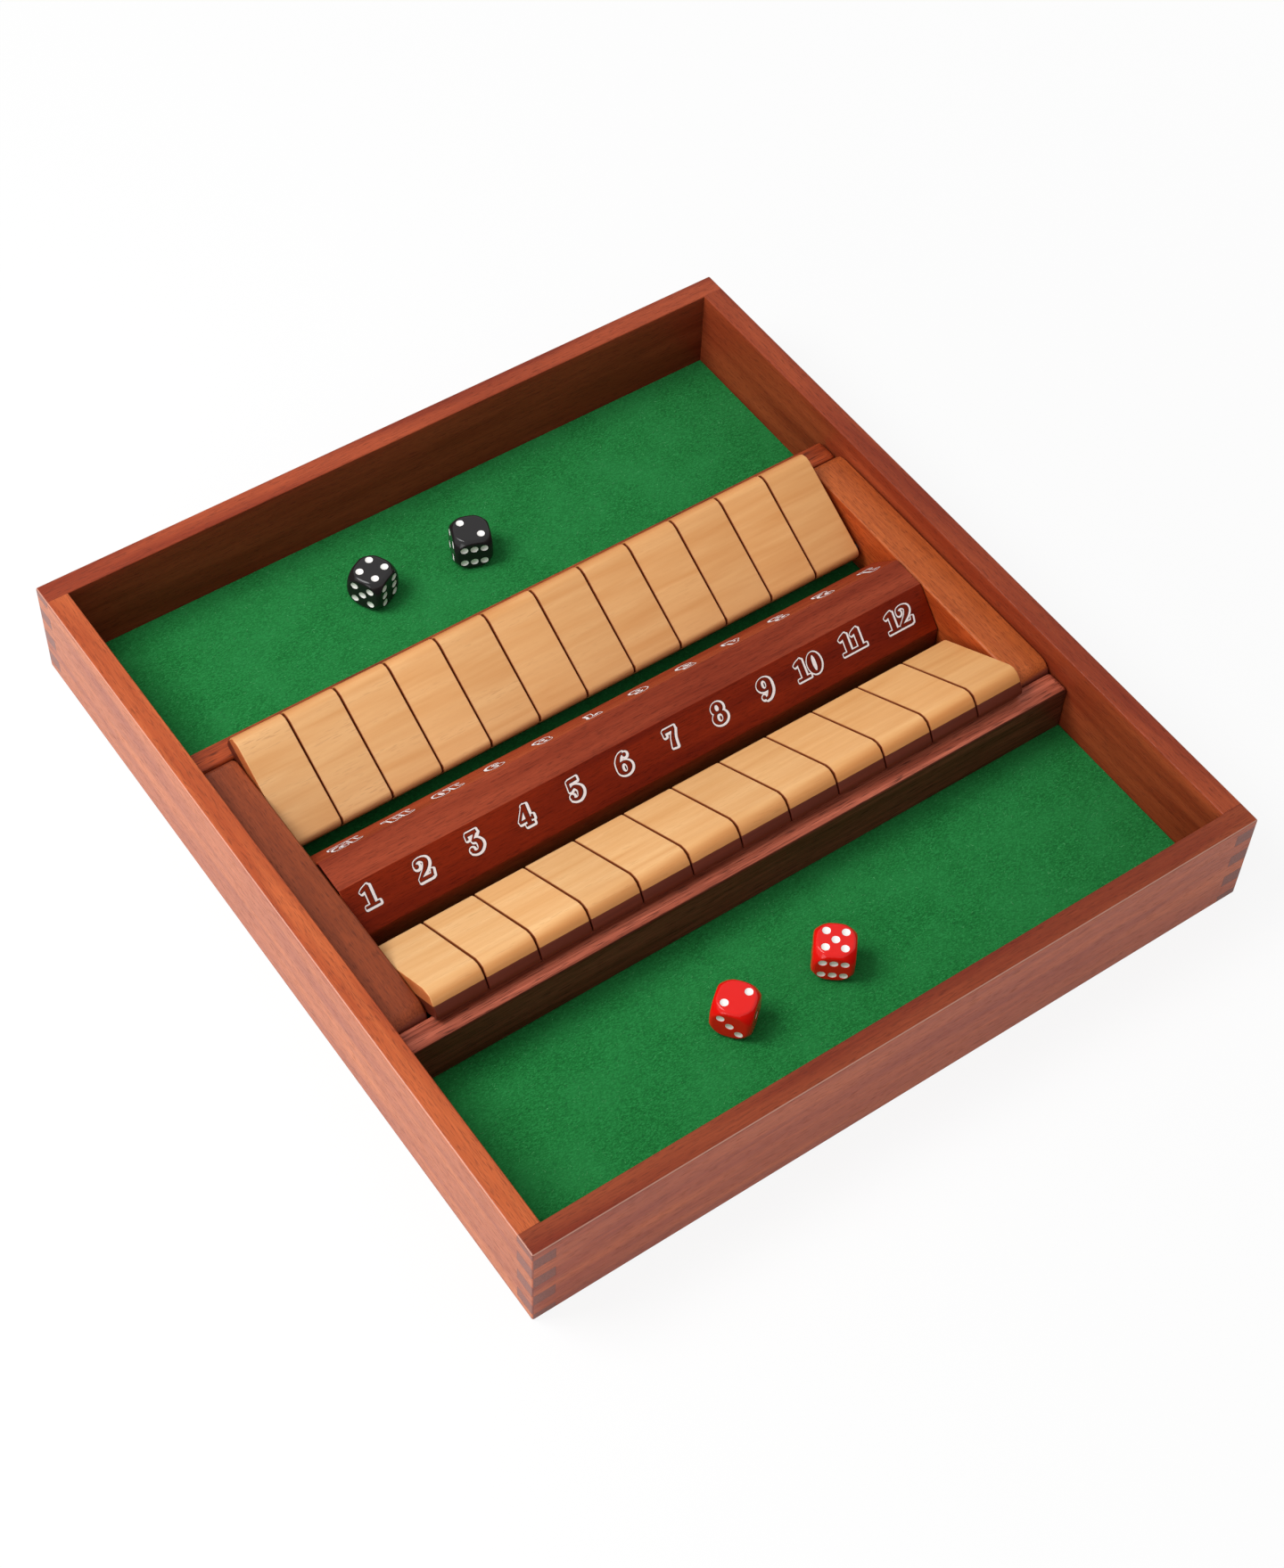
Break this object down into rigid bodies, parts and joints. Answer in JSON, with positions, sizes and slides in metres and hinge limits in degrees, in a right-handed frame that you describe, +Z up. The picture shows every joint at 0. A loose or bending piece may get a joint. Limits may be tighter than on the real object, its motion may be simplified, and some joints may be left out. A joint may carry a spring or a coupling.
{
  "type": "shut the box game",
  "caption": "Open wooden dice game box with felt trays, a numbered centre bar and rows of flip-over tiles hinged on rods, with loose dice.",
  "frame": {"origin": "middle of the box's underside, on the table", "axes": "+Z up, +Y from the near player's tray to the far player's tray along the box's longest side, +X to the near player's right along the rods and the number bar"},
  "size_m": [0.32, 0.346, 0.0463],
  "materials": {
    "box_wood": "satin lacquered reddish-brown hardwood, end grain darker",
    "rail_wood": "satin reddish-brown hardwood with open dark pores",
    "cheek_wood": "satin reddish-brown hardwood",
    "bar_wood": "satin dark red-brown hardwood, printed with white outlined numerals on both slopes",
    "tile_wood": "pale honey-coloured wood, its underside half stained dark brown",
    "panel_wood": "plain sanded sheet wood",
    "felt": "green felt with short fibres",
    "steel_rod": "drawn steel rod",
    "dice_black": "glossy black with white pips",
    "dice_red": "glossy red with white pips"
  },
  "bodies": {
    "case": {"front_wall": "box_wood", "back_wall": "box_wood", "left_wall": "box_wood", "right_wall": "box_wood", "base_panel": "panel_wood", "felt_lining": "felt", "number_bar": "bar_wood", "left_cheek": "cheek_wood", "right_cheek": "cheek_wood", "front_rail": "rail_wood", "back_rail": "rail_wood", "front_rod": "steel_rod", "back_rod": "steel_rod"},
    "front_tile_01": {"front_tile_01": "tile_wood"},
    "front_tile_02": {"front_tile_02": "tile_wood"},
    "front_tile_03": {"front_tile_03": "tile_wood"},
    "front_tile_04": {"front_tile_04": "tile_wood"},
    "front_tile_05": {"front_tile_05": "tile_wood"},
    "front_tile_06": {"front_tile_06": "tile_wood"},
    "front_tile_07": {"front_tile_07": "tile_wood"},
    "front_tile_08": {"front_tile_08": "tile_wood"},
    "front_tile_09": {"front_tile_09": "tile_wood"},
    "front_tile_10": {"front_tile_10": "tile_wood"},
    "front_tile_11": {"front_tile_11": "tile_wood"},
    "front_tile_12": {"front_tile_12": "tile_wood"},
    "back_tile_01": {"back_tile_01": "tile_wood"},
    "back_tile_02": {"back_tile_02": "tile_wood"},
    "back_tile_03": {"back_tile_03": "tile_wood"},
    "back_tile_04": {"back_tile_04": "tile_wood"},
    "back_tile_05": {"back_tile_05": "tile_wood"},
    "back_tile_06": {"back_tile_06": "tile_wood"},
    "back_tile_07": {"back_tile_07": "tile_wood"},
    "back_tile_08": {"back_tile_08": "tile_wood"},
    "back_tile_09": {"back_tile_09": "tile_wood"},
    "back_tile_10": {"back_tile_10": "tile_wood"},
    "back_tile_11": {"back_tile_11": "tile_wood"},
    "back_tile_12": {"back_tile_12": "tile_wood"},
    "die_black_a": {"die_black_a": "dice_black"},
    "die_black_b": {"die_black_b": "dice_black"},
    "die_red_a": {"die_red_a": "dice_red"},
    "die_red_b": {"die_red_b": "dice_red"}
  },
  "joints": [
    {"name": "front_tile_01_hinge", "type": "hinge", "parent": "case", "child": "front_tile_01", "pos_m": [-0.12292, -0.0335, 0.0192], "axis": [-1, 0, 0], "range_deg": [0, 103]},
    {"name": "front_tile_02_hinge", "type": "hinge", "parent": "case", "child": "front_tile_02", "pos_m": [-0.10075, -0.0335, 0.0192], "axis": [-1, 0, 0], "range_deg": [0, 103]},
    {"name": "front_tile_03_hinge", "type": "hinge", "parent": "case", "child": "front_tile_03", "pos_m": [-0.07858, -0.0335, 0.0192], "axis": [-1, 0, 0], "range_deg": [0, 103]},
    {"name": "front_tile_04_hinge", "type": "hinge", "parent": "case", "child": "front_tile_04", "pos_m": [-0.05642, -0.0335, 0.0192], "axis": [-1, 0, 0], "range_deg": [0, 103]},
    {"name": "front_tile_05_hinge", "type": "hinge", "parent": "case", "child": "front_tile_05", "pos_m": [-0.03425, -0.0335, 0.0192], "axis": [-1, 0, 0], "range_deg": [0, 103]},
    {"name": "front_tile_06_hinge", "type": "hinge", "parent": "case", "child": "front_tile_06", "pos_m": [-0.01208, -0.0335, 0.0192], "axis": [-1, 0, 0], "range_deg": [0, 103]},
    {"name": "front_tile_07_hinge", "type": "hinge", "parent": "case", "child": "front_tile_07", "pos_m": [0.01008, -0.0335, 0.0192], "axis": [-1, 0, 0], "range_deg": [0, 103]},
    {"name": "front_tile_08_hinge", "type": "hinge", "parent": "case", "child": "front_tile_08", "pos_m": [0.03225, -0.0335, 0.0192], "axis": [-1, 0, 0], "range_deg": [0, 103]},
    {"name": "front_tile_09_hinge", "type": "hinge", "parent": "case", "child": "front_tile_09", "pos_m": [0.05442, -0.0335, 0.0192], "axis": [-1, 0, 0], "range_deg": [0, 103]},
    {"name": "front_tile_10_hinge", "type": "hinge", "parent": "case", "child": "front_tile_10", "pos_m": [0.07658, -0.0335, 0.0192], "axis": [-1, 0, 0], "range_deg": [0, 103]},
    {"name": "front_tile_11_hinge", "type": "hinge", "parent": "case", "child": "front_tile_11", "pos_m": [0.09875, -0.0335, 0.0192], "axis": [-1, 0, 0], "range_deg": [0, 103]},
    {"name": "front_tile_12_hinge", "type": "hinge", "parent": "case", "child": "front_tile_12", "pos_m": [0.12092, -0.0335, 0.0192], "axis": [-1, 0, 0], "range_deg": [0, 103]},
    {"name": "back_tile_01_hinge", "type": "hinge", "parent": "case", "child": "back_tile_01", "pos_m": [0.12092, 0.0335, 0.0192], "axis": [1, 0, 0], "range_deg": [0, 103]},
    {"name": "back_tile_02_hinge", "type": "hinge", "parent": "case", "child": "back_tile_02", "pos_m": [0.09875, 0.0335, 0.0192], "axis": [1, 0, 0], "range_deg": [0, 103]},
    {"name": "back_tile_03_hinge", "type": "hinge", "parent": "case", "child": "back_tile_03", "pos_m": [0.07658, 0.0335, 0.0192], "axis": [1, 0, 0], "range_deg": [0, 103]},
    {"name": "back_tile_04_hinge", "type": "hinge", "parent": "case", "child": "back_tile_04", "pos_m": [0.05442, 0.0335, 0.0192], "axis": [1, 0, 0], "range_deg": [0, 103]},
    {"name": "back_tile_05_hinge", "type": "hinge", "parent": "case", "child": "back_tile_05", "pos_m": [0.03225, 0.0335, 0.0192], "axis": [1, 0, 0], "range_deg": [0, 103]},
    {"name": "back_tile_06_hinge", "type": "hinge", "parent": "case", "child": "back_tile_06", "pos_m": [0.01008, 0.0335, 0.0192], "axis": [1, 0, 0], "range_deg": [0, 103]},
    {"name": "back_tile_07_hinge", "type": "hinge", "parent": "case", "child": "back_tile_07", "pos_m": [-0.01208, 0.0335, 0.0192], "axis": [1, 0, 0], "range_deg": [0, 103]},
    {"name": "back_tile_08_hinge", "type": "hinge", "parent": "case", "child": "back_tile_08", "pos_m": [-0.03425, 0.0335, 0.0192], "axis": [1, 0, 0], "range_deg": [0, 103]},
    {"name": "back_tile_09_hinge", "type": "hinge", "parent": "case", "child": "back_tile_09", "pos_m": [-0.05642, 0.0335, 0.0192], "axis": [1, 0, 0], "range_deg": [0, 103]},
    {"name": "back_tile_10_hinge", "type": "hinge", "parent": "case", "child": "back_tile_10", "pos_m": [-0.07858, 0.0335, 0.0192], "axis": [1, 0, 0], "range_deg": [0, 103]},
    {"name": "back_tile_11_hinge", "type": "hinge", "parent": "case", "child": "back_tile_11", "pos_m": [-0.10075, 0.0335, 0.0192], "axis": [1, 0, 0], "range_deg": [0, 103]},
    {"name": "back_tile_12_hinge", "type": "hinge", "parent": "case", "child": "back_tile_12", "pos_m": [-0.12292, 0.0335, 0.0192], "axis": [1, 0, 0], "range_deg": [0, 103]},
    {"name": "die_black_a_lift", "type": "slide", "parent": "case", "child": "die_black_a", "axis": [0, 0, 1], "range_m": [0, 0.06]},
    {"name": "die_black_b_lift", "type": "slide", "parent": "case", "child": "die_black_b", "axis": [0, 0, 1], "range_m": [0, 0.06]},
    {"name": "die_red_a_lift", "type": "slide", "parent": "case", "child": "die_red_a", "axis": [0, 0, 1], "range_m": [0, 0.06]},
    {"name": "die_red_b_lift", "type": "slide", "parent": "case", "child": "die_red_b", "axis": [0, 0, 1], "range_m": [0, 0.06]}
  ]
}
